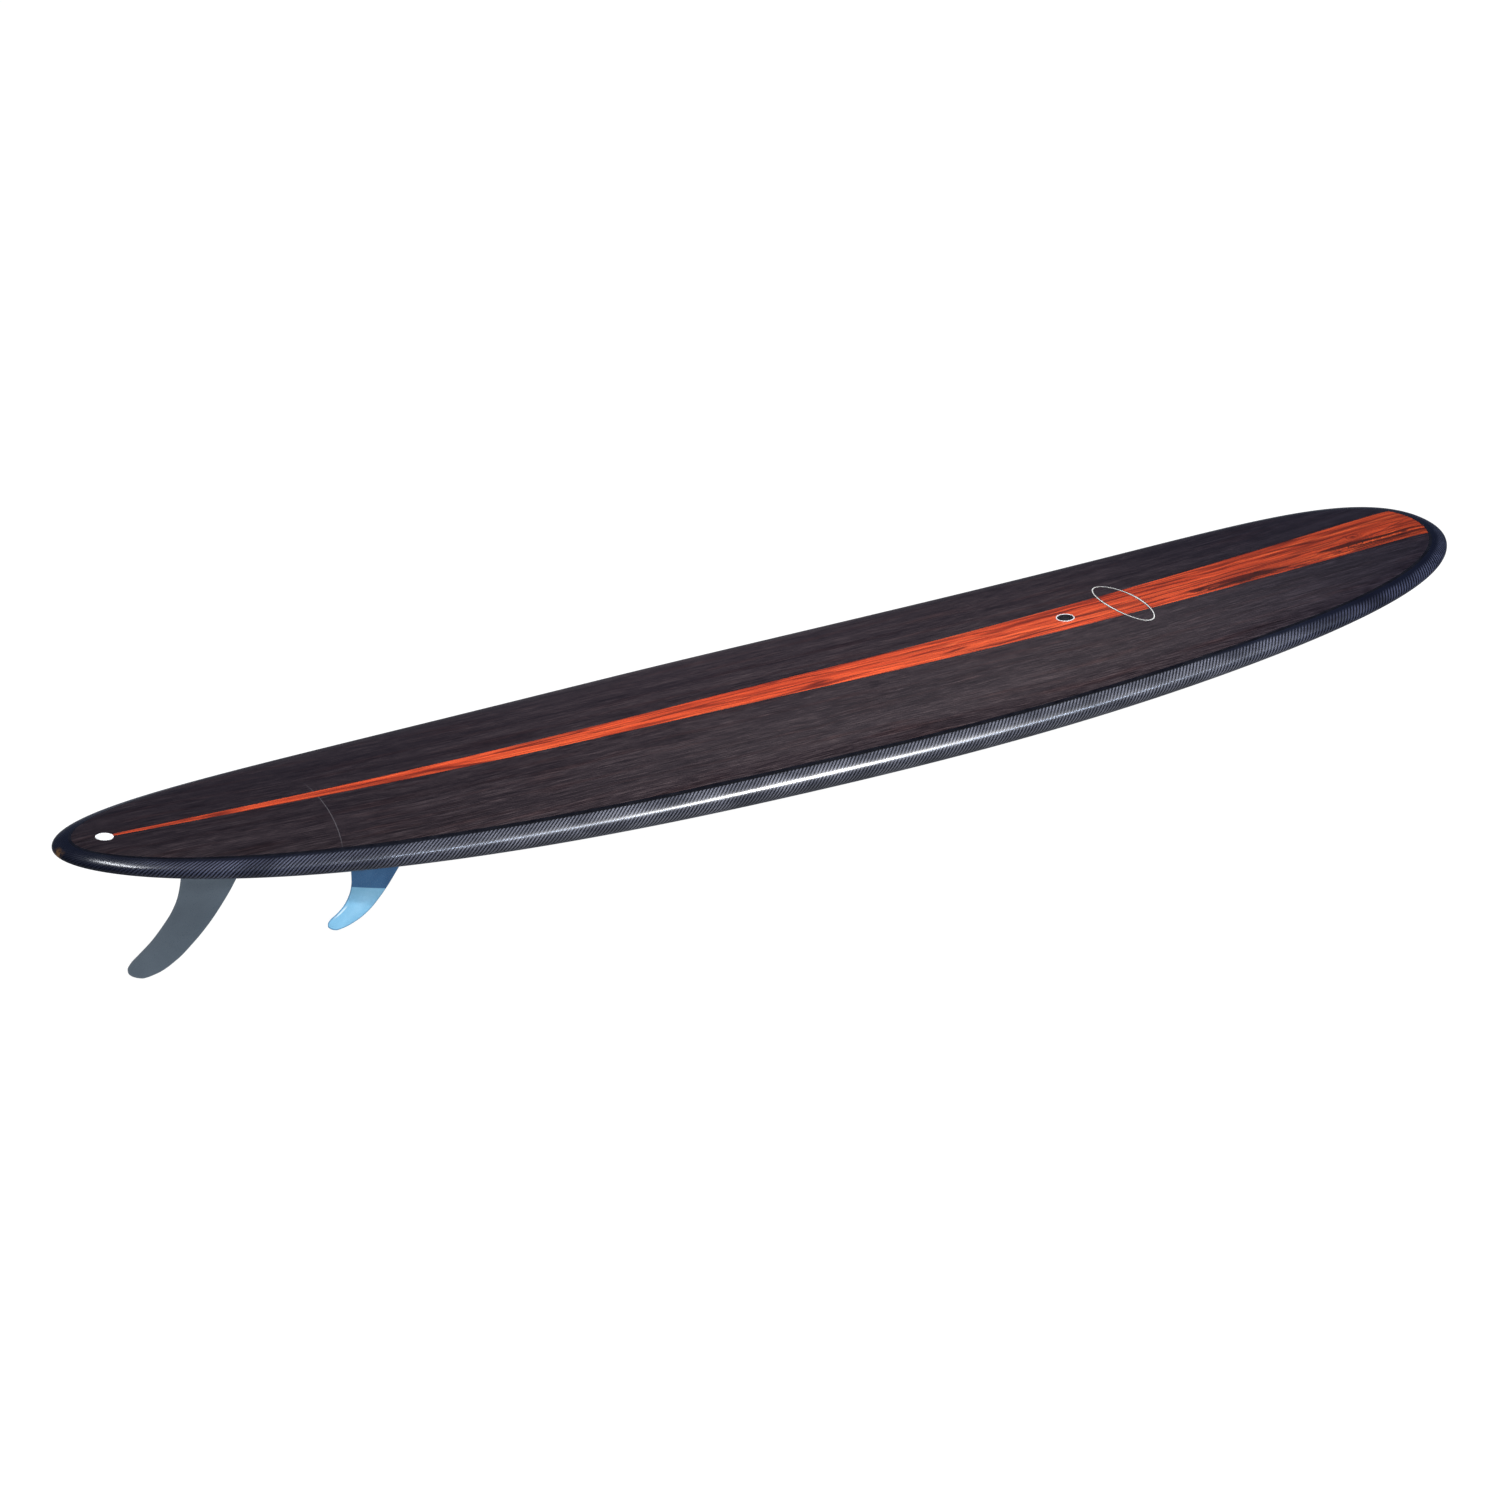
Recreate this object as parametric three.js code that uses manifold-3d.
// Longboard surfboard, 9 ft 2 in: foam and veneer sandwich with carbon rails,
// one adjustable centre fin and two side fins.
// Millimetres. +X runs from tail to nose, +Y to port, +Z from bottom to deck.
// Origin: middle of the length, on the centreline, level with the tip of the centre fin.
import * as THREE from 'three';
import { mergeVertices } from 'three/addons/utils/BufferGeometryUtils.js';
import Module from 'manifold-3d';

const wasm = await Module();
wasm.setup();

// ---------------------------------------------------------------- driving dimensions
const L = 2794;                         // overall length, 9 ft 2 in
const OUTLINE = [308.68, -17.48, 25.77, -7.13, 5.88, -2.15, 0.63]; // half width, sine series
const ROCKER_MID = 0.44;                // lowest point of the bottom, as a part of L
const TAIL_ROCKER = 69.96, NOSE_ROCKER = 99.52;
const THICK = 74.73, TAIL_TIP = 20.14, NOSE_TIP = 14.98;
const TAIL_FOIL = 1.512, NOSE_FOIL = 1.282;   // how fast the ends thin
const CROWN = 27.41, CROWN_AT = 285;    // deck roll
const RAIL_TOP_R = 78.06, RAIL_BOTTOM_R = 28.49, RAIL_SHRINK = 0.2687;
const APEX = 0.3632, APEX_TAIL = -0.0848, APEX_NOSE = -0.003; // height of the rail's widest line
const SPINE = 130;                      // inset of the centre spine's ends
const FIN_TIP_Z = 186.322;              // the centre fin's tip below the lowest point of the bottom
const SKIN = 1.6, GAP = 0.3;            // skin thickness, clearance between bonded pieces
const PIN_INSET = 30.6, PIN_WIDTH = 5.0;   // coach line on the deck
const RAIL_WRAP = 46;                   // carbon on the bottom, in from the outline
const STRINGER = 4.5;
const STRIPE_X0 = -63.12, STRIPE_K = 0.0216, STRIPE_B = 0.0326; // centre inlay taper

const PLUG_X = 88.5, PLUG_R = 15.4, PLUG_BODY_R = 13.0, PLUG_DEPTH = 22, BOWL_R = 10.8, BOWL_DEPTH = 19;
const COVER_R = 13.1, BAR_R = 2.0, BAR_LEN = 25, BAR_Z = -9.5;
const VENT_X = 1994.5, VENT_RING_R = 17, VENT_RING_IN = 14.95, VENT_FLANGE_R = 14.6, VENT_BODY_R = 11.5, VENT_DEPTH = 24;

const BOX_X = 298, BOX_Z = 37.337, BOX_TILT = 5.216;     // centre fin box: middle, surface height, slope
const BOX_LEN = 267, BOX_W = 25.4, BOX_H = 23, SLOT_W = 9.6, SLOT_LEN = 247, SLOT_H = 19.5;
const GROOVE_W = 14.4, GROOVE_Z0 = 6.0, GROOVE_Z1 = 10.6;
const FIN_TAB_T = 9.0;
// depth, trailing edge, leading edge along the box's own axis
const CENTRE_FIN = [
  [0.4, -68.0, 78.0], [30, -66.5, 60.8], [66, -67.3, 43.6], [100, -72.4, 26.4], [135, -89.9, 4.2],
  [170, -116.6, -23.4], [196, -144.6, -48.6], [211, -157.6, -66.2], [223, -156.4, -84.4], [231, -145.9, -102.6],
  [235, -134.8, -118.4], [236, -130.0, -125.0]];
const SIDE_X = 500, SIDE_Y = 186, SIDE_Z = 21.054, SIDE_TILT = 3.80, SIDE_CANT = 5.0, SIDE_TOE = 2.5;
const SIDE_FIN = [
  [0.4, -49.5, 57.0], [18, -48.0, 43.0], [36, -49.0, 29.8], [54, -55.4, 15.0], [72, -69.3, -2.2],
  [87, -90.4, -20.6], [94, -94.4, -32.6], [101, -91.8, -49.2], [105, -85.6, -62.8], [107, -79.0, -73.0]];
const SIDE_BOX_LEN = 124, SIDE_BOX_W = 26, SIDE_BOX_H = 17, SIDE_BOX_S = 3.7, SIDE_BOX_T = 2;
const SIDE_TAB_T = 5.6, SIDE_SLOT_W = 6.2, SIDE_SLOT_H = 14.6;
const GRUB_R = 2.5, GRUB_T = 6.5, GRUB_S = [-25, 32];

// ---------------------------------------------------------------- board surfaces
function halfWidth(phi) {
  let w = 0;
  OUTLINE.forEach((a, k) => { w += a * Math.sin((k + 1) * phi); });
  return w;
}
function bottomZ(x) {
  const xm = ROCKER_MID * L;
  return x < xm ? TAIL_ROCKER * ((xm - x) / xm) ** 2.3 : NOSE_ROCKER * ((x - xm) / (L - xm)) ** 2.6;
}
function thickness(x) {
  const c = Math.min(1, Math.max(-1, 1 - 2 * x / L));
  const s = Math.sqrt(Math.max(0, 1 - c * c));
  const tail = x < L / 2;
  const tip = tail ? TAIL_TIP : NOSE_TIP;
  return tip + (THICK - tip) * s ** (tail ? TAIL_FOIL : NOSE_FOIL);
}
function deckZ(x, y) { return bottomZ(x) + thickness(x) - CROWN * (y / CROWN_AT) ** 2; }
function round(u, p = 2.2) { const v = Math.min(1, Math.max(0, u)); return (1 - (1 - v) ** p) ** (1 / p); }
function shrink(x) { return (thickness(x) / THICK) ** RAIL_SHRINK; }
function apexZ(x, y) {
  const c = 1 - 2 * x / L;
  const f = APEX + (c > 0 ? APEX_TAIL : APEX_NOSE) * c * c;
  const zb = bottomZ(x);
  return zb + f * (deckZ(x, y) - zb);
}
function topZ(x, y, d) { const za = apexZ(x, y); return za + (deckZ(x, y) - za) * round(d / (RAIL_TOP_R * shrink(x))); }
function lowZ(x, y, d) { const za = apexZ(x, y); return za - (za - bottomZ(x)) * round(d / (RAIL_BOTTOM_R * shrink(x))); }

const STATIONS = [0, 0.06, 0.13, 0.22, 0.33, 0.46, 0.62, 0.81, 1.04, 1.3];
const PHI = [...STATIONS, Math.PI / 2, ...STATIONS.slice().reverse().map((v) => Math.PI - v)];
// a ray runs from a point of the outline to the spine on the centreline
function ray(phi) {
  const end = phi === 0 || phi === Math.PI;
  const x = L / 2 - (L / 2) * Math.cos(phi), w = end ? 0 : halfWidth(phi);
  const s = L / 2 - (L / 2 - SPINE) * Math.cos(phi);
  const n = Math.hypot(s - x, w);
  return { x, w, s, n, ux: (s - x) / n, uy: -w / n };
}
const TOP_D = [0, 2.2, 9, 22, 48];
const LOW_D = [1.6, 7, 28.5];
function section(phi, off) {
  const r = ray(phi);
  const pt = (d, f) => {
    const x = r.x + r.ux * d, y = Math.abs(d - r.n) < 1e-9 ? 0 : Math.max(0, r.w + r.uy * d);
    return { d, z: f(x, y, d) };
  };
  const ds = [r.n, 48 + (r.n - 48) * 0.5, ...TOP_D.slice().reverse()];
  const line = ds.map((d) => pt(d, topZ)).concat(LOW_D.map((d) => pt(d, lowZ)), [pt(r.n, lowZ)]);
  const out = line.map((p, i) => {
    if (off === 0) return p;
    if (i === 0) return { d: p.d, z: p.z - off };
    if (i === line.length - 1) return { d: p.d, z: p.z + off };
    const a = line[i - 1], b = line[i + 1];
    const n1 = norm(-(p.z - a.z), p.d - a.d), n2 = norm(-(b.z - p.z), b.d - p.d);
    const m = norm(n1[0] + n2[0], n1[1] + n2[1]);
    const k = off / Math.max(0.6, m[0] * n1[0] + m[1] * n1[1]);
    return { d: p.d + m[0] * k, z: p.z + m[1] * k };
  });
  return out.map((p, i) => {
    const flat = i === 0 || i === out.length - 1 || phi === 0 || phi === Math.PI;
    return [r.x + r.ux * p.d, flat ? 0 : r.w + r.uy * p.d, p.z];
  });
}
function norm(a, b) { const h = Math.hypot(a, b) || 1; return [a / h, b / h]; }

// ---------------------------------------------------------------- solids
function solid(geometry) {
  const g = geometry.clone();
  g.deleteAttribute('normal');
  g.deleteAttribute('uv');
  const m = mergeVertices(g, 1e-4);
  return new wasm.Manifold(new wasm.Mesh({
    numProp: 3,
    vertProperties: new Float32Array(m.attributes.position.array),
    triVerts: new Uint32Array(m.index.array),
  }));
}
function geometryOf(man) {
  const mesh = man.getMesh();
  const g = new THREE.BufferGeometry();
  g.setAttribute('position', new THREE.BufferAttribute(new Float32Array(mesh.vertProperties), 3));
  g.setIndex(new THREE.BufferAttribute(new Uint32Array(mesh.triVerts), 1));
  g.computeVertexNormals();
  return g;
}
function fromQuads(points, tris) {
  const g = new THREE.BufferGeometry();
  g.setAttribute('position', new THREE.BufferAttribute(new Float32Array(points.flat()), 3));
  g.setIndex(tris);
  return g;
}
function board(off) {
  const rows = PHI.map((phi) => section(phi, off));
  const pts = [], tris = [];
  const m = rows[0].length;
  for (const side of [1, -1]) {
    const base = pts.length;
    rows.forEach((row) => row.forEach((p) => pts.push([p[0], p[1] * side, p[2]])));
    for (let i = 0; i + 1 < rows.length; i++) {
      for (let j = 0; j + 1 < m; j++) {
        const a = base + i * m + j, b = a + 1, c = a + m, d = c + 1;
        if (side === 1) tris.push(a, c, b, b, c, d); else tris.push(a, b, c, b, d, c);
      }
    }
  }
  return solid(fromQuads(pts, tris));
}
function block(x0, x1, y0, y1, z0, z1) {
  const g = new THREE.BoxGeometry(x1 - x0, y1 - y0, z1 - z0);
  g.translate((x0 + x1) / 2, (y0 + y1) / 2, (z0 + z1) / 2);
  return solid(g);
}
function disc(r, z0, z1, n = 20, x = 0, y = 0) {
  const g = new THREE.CylinderGeometry(r, r, z1 - z0, n);
  g.rotateX(Math.PI / 2);
  g.translate(x, y, (z0 + z1) / 2);
  return solid(g);
}
function prism(pts, z0, z1) {
  const g = new THREE.ExtrudeGeometry(new THREE.Shape(pts.map((p) => new THREE.Vector2(p[0], p[1]))),
    { depth: z1 - z0, bevelEnabled: false });
  g.translate(0, 0, z0);
  return solid(g);
}
function slotShape(len, w, n = 6, s0 = 0, t0 = 0) {
  const r = w / 2, pts = [];
  for (let i = 0; i <= n; i++) {
    const a = -Math.PI / 2 + Math.PI * i / n;
    pts.push([s0 + len / 2 - r + r * Math.cos(a), t0 + r * Math.sin(a)]);
  }
  for (let i = 0; i <= n; i++) {
    const a = Math.PI / 2 + Math.PI * i / n;
    pts.push([s0 - len / 2 + r + r * Math.cos(a), t0 + r * Math.sin(a)]);
  }
  return pts;
}
function lathe(profile, n = 24) {
  const g = new THREE.LatheGeometry(profile.map((p) => new THREE.Vector2(p[0], p[1])), n);
  g.rotateX(Math.PI / 2);
  let m = solid(g);
  if (m.volume() < 0) {
    const h = mergeVertices((() => { g.deleteAttribute('normal'); g.deleteAttribute('uv'); return g; })(), 1e-4);
    const idx = Array.from(h.index.array);
    for (let i = 0; i < idx.length; i += 3) [idx[i + 1], idx[i + 2]] = [idx[i + 2], idx[i + 1]];
    h.setIndex(idx);
    m = solid(h);
  }
  return m;
}
const BETWEEN = [0, ...PHI.slice(1).map((v, i) => (v + PHI[i]) / 2 + 0.003), Math.PI];
function contour(d0) {
  const half = BETWEEN.map((phi) => {
    const r = ray(phi);
    const d = Math.min(d0, r.n);
    return [r.x + r.ux * d, r.w + r.uy * d];
  });
  const port = half.map((p, i) => (i === 0 || i === half.length - 1 ? [p[0], 0] : p));
  return [...port.slice().reverse(), ...port.slice(1, -1).map((p) => [p[0], -p[1]])];
}
const inside = (d) => prism(contour(d), -60, 260);
function above() {
  const pts = [];
  for (let x = -40; x <= L + 40; x += 100) {
    const c = Math.min(L, Math.max(0, x));
    pts.push([x, bottomZ(c) + 0.5 * thickness(c)]);
  }
  pts.push([L + 60, bottomZ(L) + 0.5 * thickness(L)], [L + 60, 400], [-40, 400]);
  const g = new THREE.ExtrudeGeometry(new THREE.Shape(pts.map((p) => new THREE.Vector2(p[0], p[1]))), { depth: 800, bevelEnabled: false });
  g.rotateX(Math.PI / 2);
  g.translate(0, 400, 0);
  return solid(g);
}
function stripeHalf(x) { const t = Math.max(0, x - STRIPE_X0); return t * STRIPE_K * (1 + STRIPE_B * 0.3 * t / 1000); }
function stripe(x0, extra) {
  const xs = [x0, 600, 1200, 1800, 2300, 2780];
  return prism([...xs.map((x) => [x, -stripeHalf(x) - extra]), ...xs.slice().reverse().map((x) => [x, stripeHalf(x) + extra])], -60, 260);
}

// ---------------------------------------------------------------- frames of the fittings
function frameMatrix(x, y, z, fore, up) {
  const side = new THREE.Vector3().crossVectors(up, fore);
  const m = new THREE.Matrix4().makeBasis(fore, side, up);
  m.setPosition(x, y, z);
  return m;
}
function deckFrame(x) {
  const a = Math.atan2(deckZ(x + 5, 0) - deckZ(x - 5, 0), 10);
  return frameMatrix(x, 0, deckZ(x, 0), new THREE.Vector3(Math.cos(a), 0, Math.sin(a)), new THREE.Vector3(-Math.sin(a), 0, Math.cos(a)));
}
const rad = Math.PI / 180;
function centreFrame() {
  const a = -BOX_TILT * rad;
  return frameMatrix(BOX_X, 0, BOX_Z, new THREE.Vector3(Math.cos(a), 0, Math.sin(a)), new THREE.Vector3(-Math.sin(a), 0, Math.cos(a)));
}
function sideFrame(sign) {          // sign +1 is port
  const a = -SIDE_TILT * rad, toe = SIDE_TOE * rad, cant = SIDE_CANT * rad;
  const f = new THREE.Vector3(Math.cos(a), 0, Math.sin(a)), n = new THREE.Vector3(-Math.sin(a), 0, Math.cos(a));
  const inb = new THREE.Vector3(0, -sign, 0);
  const fore = f.clone().multiplyScalar(Math.cos(toe)).addScaledVector(inb, Math.sin(toe));
  const s2 = inb.clone().multiplyScalar(Math.cos(toe)).addScaledVector(f, -Math.sin(toe));
  const up = n.clone().multiplyScalar(Math.cos(cant)).addScaledVector(s2, Math.sin(cant));
  return frameMatrix(SIDE_X, sign * SIDE_Y, SIDE_Z, fore, up);
}
function placed(man, matrix) { return man.transform(Array.from(matrix.elements)); }

const leashAt = deckFrame(PLUG_X), ventAt = deckFrame(VENT_X), centreAt = centreFrame();
const sideAt = { port: sideFrame(1), starboard: sideFrame(-1) };

// ---------------------------------------------------------------- pockets
const cutLeash = placed(disc(PLUG_R + GAP, -2.3, 8).add(disc(PLUG_BODY_R + GAP, -PLUG_DEPTH - GAP, 1)), leashAt);
const cutVent = placed(disc(VENT_RING_R + GAP, -2.5, 8).add(disc(VENT_FLANGE_R + GAP, -3.3, 1)).add(disc(VENT_BODY_R + GAP, -VENT_DEPTH - GAP, 1)), ventAt);
const cutCentre = placed(prism(slotShape(BOX_LEN + 2 * GAP, BOX_W + 2 * GAP), -8, 3.3)
  .add(prism(slotShape(BOX_LEN - 8 + 2 * GAP, 19 + 2 * GAP), -1, BOX_H + GAP)), centreAt);
const cutSides = ['port', 'starboard'].map((k) => {
  const t = k === 'port' ? -SIDE_BOX_T : SIDE_BOX_T;
  return placed(prism(slotShape(SIDE_BOX_LEN + 2 * GAP, SIDE_BOX_W + 2 * GAP, 6, SIDE_BOX_S, t), -8, 2.3)
    .add(prism(slotShape(SIDE_BOX_LEN - 6 + 2 * GAP, SIDE_BOX_W - 5 + 2 * GAP, 6, SIDE_BOX_S, t), -1, SIDE_BOX_H + GAP)), sideAt[k]);
});

// ---------------------------------------------------------------- the blank and its skins
const upper = above();
const outer = board(0);
const shell = outer.subtract(board(SKIN));
const core = board(SKIN + GAP);
const FAR = 4000;
const half = (s, y) => (s > 0 ? block(-100, FAR, y, 700, -100, 400) : block(-100, FAR, -700, -y, -100, 400));

const deckField = shell.intersect(inside(PIN_INSET + PIN_WIDTH / 2 + GAP)).intersect(upper);
const veneers = deckField.subtract(stripe(PLUG_X, GAP)).subtract(cutLeash);
const inlay = deckField.intersect(stripe(PLUG_X, 0)).subtract(cutLeash).subtract(cutVent);
const coachLine = shell.intersect(inside(PIN_INSET - PIN_WIDTH / 2)).intersect(upper).subtract(inside(PIN_INSET + PIN_WIDTH / 2));
let rails = shell.subtract(upper.intersect(inside(PIN_INSET - PIN_WIDTH / 2 - GAP)))
  .subtract(inside(RAIL_WRAP - GAP).subtract(upper));
let bottom = shell.intersect(inside(RAIL_WRAP)).subtract(upper).subtract(cutCentre);
for (const c of cutSides) { bottom = bottom.subtract(c); rails = rails.subtract(c); }
let foam = core.subtract(cutLeash).subtract(cutVent).subtract(cutCentre);
for (const c of cutSides) foam = foam.subtract(c);

// ---------------------------------------------------------------- fins and boxes
function foil(table, thick, grow, roundness) {
  const U = [0, 0.08, 0.34, 0.66, 1];
  const shape = (u) => (u < 0.34 ? Math.sqrt(1 - (1 - u / 0.34) ** 2) : 0.12 + 0.88 * (1 - ((u - 0.34) / 0.66) ** 1.6));
  const pts = [], tris = [];
  const dmax = table[table.length - 1][0];
  const ring = 2 * U.length - 2;
  for (const [d, tr, le] of table) {
    const t = thick * (1 - (1 - grow) * (d / dmax) ** roundness) * Math.min(1, (le - tr) / 26);
    const row = [];
    U.forEach((u) => row.push([le + (tr - le) * u, u === 0 || u === 1 ? 0 : shape(u) * t / 2, -d]));
    for (let i = U.length - 2; i > 0; i--) row.push([le + (tr - le) * U[i], -shape(U[i]) * t / 2, -d]);
    pts.push(...row);
  }
  const rows = table.length;
  for (let i = 0; i + 1 < rows; i++) {
    for (let j = 0; j < ring; j++) {
      const a = i * ring + j, b = i * ring + (j + 1) % ring, c = a + ring, d = b + ring;
      tris.push(a, b, c, b, d, c);
    }
  }
  for (let j = 1; j + 1 < ring; j++) tris.push(0, j + 1, j);
  const q = (rows - 1) * ring;
  for (let j = 1; j + 1 < ring; j++) tris.push(q, q + j, q + j + 1);
  let m = solid(fromQuads(pts, tris));
  if (m.volume() < 0) {
    for (let i = 0; i < tris.length; i += 3) [tris[i + 1], tris[i + 2]] = [tris[i + 2], tris[i + 1]];
    m = solid(fromQuads(pts, tris));
  }
  return m;
}
const FIN_SCREW_S = 94, FIN_PIN_S = -58, FIN_PIN_Z = 8.3;
const acrossPin = (r, len, n = 12) => {
  const g = new THREE.CylinderGeometry(r, r, len, n);
  g.translate(FIN_PIN_S, 0, FIN_PIN_Z);
  return solid(g);
};
const centreFin = foil(CENTRE_FIN, 9.2, 0.42, 1.4)
  .add(block(-66, 76, -FIN_TAB_T / 2, FIN_TAB_T / 2, -3, 17))
  .add(block(70, 104, -FIN_TAB_T / 2, FIN_TAB_T / 2, 1.0, 5.9))
  .subtract(disc(2.4, -2, 8, 16, FIN_SCREW_S, 0))
  .subtract(acrossPin(2.2, 40));
const centrePin = acrossPin(1.8, 13.6);
const centrePlate = block(FIN_SCREW_S - 7, FIN_SCREW_S + 7, -6.8, 6.8, 6.7, 9.6).subtract(disc(2.35, 5, 12, 16, FIN_SCREW_S, 0));
const cross = (x, y, z0, z1, len, w) => block(x - len / 2, x + len / 2, y - w / 2, y + w / 2, z0, z1).add(block(x - w / 2, x + w / 2, y - len / 2, y + len / 2, z0, z1));
const centreScrew = disc(4.2, -1.6, 0.7, 20, FIN_SCREW_S, 0).add(disc(2.0, 0, 14, 12, FIN_SCREW_S, 0))
  .subtract(cross(FIN_SCREW_S, 0, -3, -0.4, 5.2, 1.1));
const centreBox = prism(slotShape(BOX_LEN, BOX_W), 0, 3).add(prism(slotShape(BOX_LEN - 8, 19), 1, BOX_H))
  .subtract(prism(slotShape(SLOT_LEN, SLOT_W), -2, SLOT_H))
  .subtract(block(-SLOT_LEN / 2 + 4, SLOT_LEN / 2 - 4, -GROOVE_W / 2, GROOVE_W / 2, GROOVE_Z0, GROOVE_Z1))
  .subtract(block(-8, 8, -GROOVE_W / 2, GROOVE_W / 2, -2, 8));
function sideParts(k) {
  const inb = k === 'port' ? -1 : 1;   // local +t points to port on both sides
  const t = inb * SIDE_BOX_T;
  const fin = foil(SIDE_FIN, 6.4, 0.45, 1.4).add(block(-48, 55, -SIDE_TAB_T / 2, SIDE_TAB_T / 2, -2.5, 14));
  let box = prism(slotShape(SIDE_BOX_LEN, SIDE_BOX_W, 6, SIDE_BOX_S, t), 0, 2)
    .add(prism(slotShape(SIDE_BOX_LEN - 6, SIDE_BOX_W - 5, 6, SIDE_BOX_S, t), 1, SIDE_BOX_H))
    .subtract(block(-48.6, 55.6, -SIDE_SLOT_W / 2, SIDE_SLOT_W / 2, -3, SIDE_SLOT_H));
  const grubs = GRUB_S.map((s) => disc(GRUB_R, 0.5, 10.5, 12, s, inb * GRUB_T)
    .subtract(disc(1.45, -1, 3.2, 6, s, inb * GRUB_T)));
  GRUB_S.forEach((s) => { box = box.subtract(disc(GRUB_R + GAP, -2, 11, 12, s, inb * GRUB_T)); });
  return { fin, box, grubs };
}
const sides = { port: sideParts('port'), starboard: sideParts('starboard') };

// ---------------------------------------------------------------- plugs
const leashCup = lathe([[0, -PLUG_DEPTH], [PLUG_BODY_R, -PLUG_DEPTH], [PLUG_BODY_R, -2], [PLUG_R, -2], [PLUG_R, -0.4], [PLUG_R - 0.5, 0.2],
  [COVER_R + GAP, 0.2], [COVER_R + GAP, -2.1], [BOWL_R, -2.1], [BOWL_R, -BOWL_DEPTH], [0, -BOWL_DEPTH]])
  .subtract((() => { const g = new THREE.CylinderGeometry(BAR_R + GAP, BAR_R + GAP, 40, 12); g.translate(0, 0, BAR_Z); return solid(g); })());
const leashBar = (() => { const g = new THREE.CylinderGeometry(BAR_R, BAR_R, BAR_LEN, 12); g.translate(0, 0, BAR_Z); return solid(g); })();
const leashCover = lathe([[0, -1.5], [9.0, -1.5], [9.0, -4.6], [10.3, -4.6], [10.3, -1.7], [COVER_R, -1.7], [COVER_R, 0.1], [COVER_R - 0.5, 0.5], [0, 0.5]]);
const ventBody = lathe([[0, -VENT_DEPTH], [VENT_BODY_R, -VENT_DEPTH], [VENT_BODY_R, -3], [VENT_FLANGE_R, -3], [VENT_FLANGE_R, 0.1],
  [9.2, 0.1], [9.2, -4.8], [4.5, -4.8], [4.5, -20], [0, -20]]);
const ventRing = lathe([[VENT_RING_IN, -2.2], [VENT_RING_R, -2.2], [VENT_RING_R, 0.1], [VENT_RING_R - 0.5, 0.4], [VENT_RING_IN + 0.4, 0.4], [VENT_RING_IN, 0.1], [VENT_RING_IN, -2.2]]);
const ventScrew = disc(8.4, -2.3, -0.5, 24).add(disc(4.1, -18.5, -1, 16)).subtract(block(-6, 6, -0.8, 0.8, -1.4, 2));
const oRing = (() => {
  const pts = [];
  for (let i = 0; i <= 8; i++) { const a = -Math.PI / 2 + 2 * Math.PI * i / 8; pts.push([6.5 + 0.9 * Math.cos(a), -3.6 + 0.9 * Math.sin(a)]); }
  pts[8] = pts[0].slice();
  return lathe(pts, 16);
})();

// ---------------------------------------------------------------- assembly
const model = new THREE.Group();
model.position.set(-L / 2, 0, FIN_TIP_Z);
const looks = {
  foam: [0xf1efe6, 0.9, 0], stringer: [0xc49a66, 0.7, 0], veneer: [0x332d30, 0.4, 0], inlay: [0xc8502a, 0.35, 0],
  line: [0x050509, 0.12, 0], carbon: [0x2a2c33, 0.2, 0.1], bottom: [0x332d30, 0.35, 0], white: [0xf4f4f2, 0.35, 0],
  steel: [0xc3c6ca, 0.3, 1], black: [0x0d0d10, 0.4, 0], chrome: [0xdcdde0, 0.15, 1], rubber: [0x111111, 0.8, 0],
  box: [0x17181b, 0.45, 0], smoke: [0x55626e, 0.25, 0], blue: [0x5f9fd0, 0.25, 0], brass: [0xb89248, 0.35, 1],
};
function add(name, man, look, matrix) {
  const [color, roughness, metalness] = looks[look];
  const mesh = new THREE.Mesh(geometryOf(man), new THREE.MeshStandardMaterial({ color, roughness, metalness }));
  mesh.name = name;
  if (matrix) { matrix.decompose(mesh.position, mesh.quaternion, mesh.scale); }
  model.add(mesh);
}
add('foam_core_port', foam.intersect(half(1, STRINGER / 2 + GAP)), 'foam');
add('foam_core_starboard', foam.intersect(half(-1, STRINGER / 2 + GAP)), 'foam');
add('stringer', foam.intersect(block(-100, FAR, -STRINGER / 2, STRINGER / 2, -100, 400)), 'stringer');
add('deck_veneer_port', veneers.intersect(half(1, GAP / 2)), 'veneer');
add('deck_veneer_starboard', veneers.intersect(half(-1, GAP / 2)), 'veneer');
add('deck_inlay', inlay, 'inlay');
add('pinline', coachLine, 'line');
add('carbon_rail_port', rails.intersect(half(1, GAP / 2)), 'carbon');
add('carbon_rail_starboard', rails.intersect(half(-1, GAP / 2)), 'carbon');
add('bottom_skin', bottom, 'bottom');
add('leash_plug_cup', leashCup, 'white', leashAt);
add('leash_plug_bar', leashBar, 'steel', leashAt);
add('leash_plug_cover', leashCover, 'white', leashAt);
add('vent_plug_body', ventBody, 'black', ventAt);
add('vent_ring', ventRing, 'chrome', ventAt);
add('vent_screw', ventScrew, 'black', ventAt);
add('vent_o_ring', oRing, 'rubber', ventAt);
add('centre_fin_box', centreBox, 'box', centreAt);
add('centre_fin', centreFin, 'smoke', centreAt);
add('centre_fin_screw', centreScrew, 'steel', centreAt);
add('centre_fin_plate', centrePlate, 'brass', centreAt);
add('centre_fin_pin', centrePin, 'brass', centreAt);
for (const k of ['port', 'starboard']) {
  add(`side_fin_box_${k}`, sides[k].box, 'box', sideAt[k]);
  add(`side_fin_${k}`, sides[k].fin, 'blue', sideAt[k]);
  add(`grub_screw_${k}_rear`, sides[k].grubs[0], 'steel', sideAt[k]);
  add(`grub_screw_${k}_front`, sides[k].grubs[1], 'steel', sideAt[k]);
}
export default model;
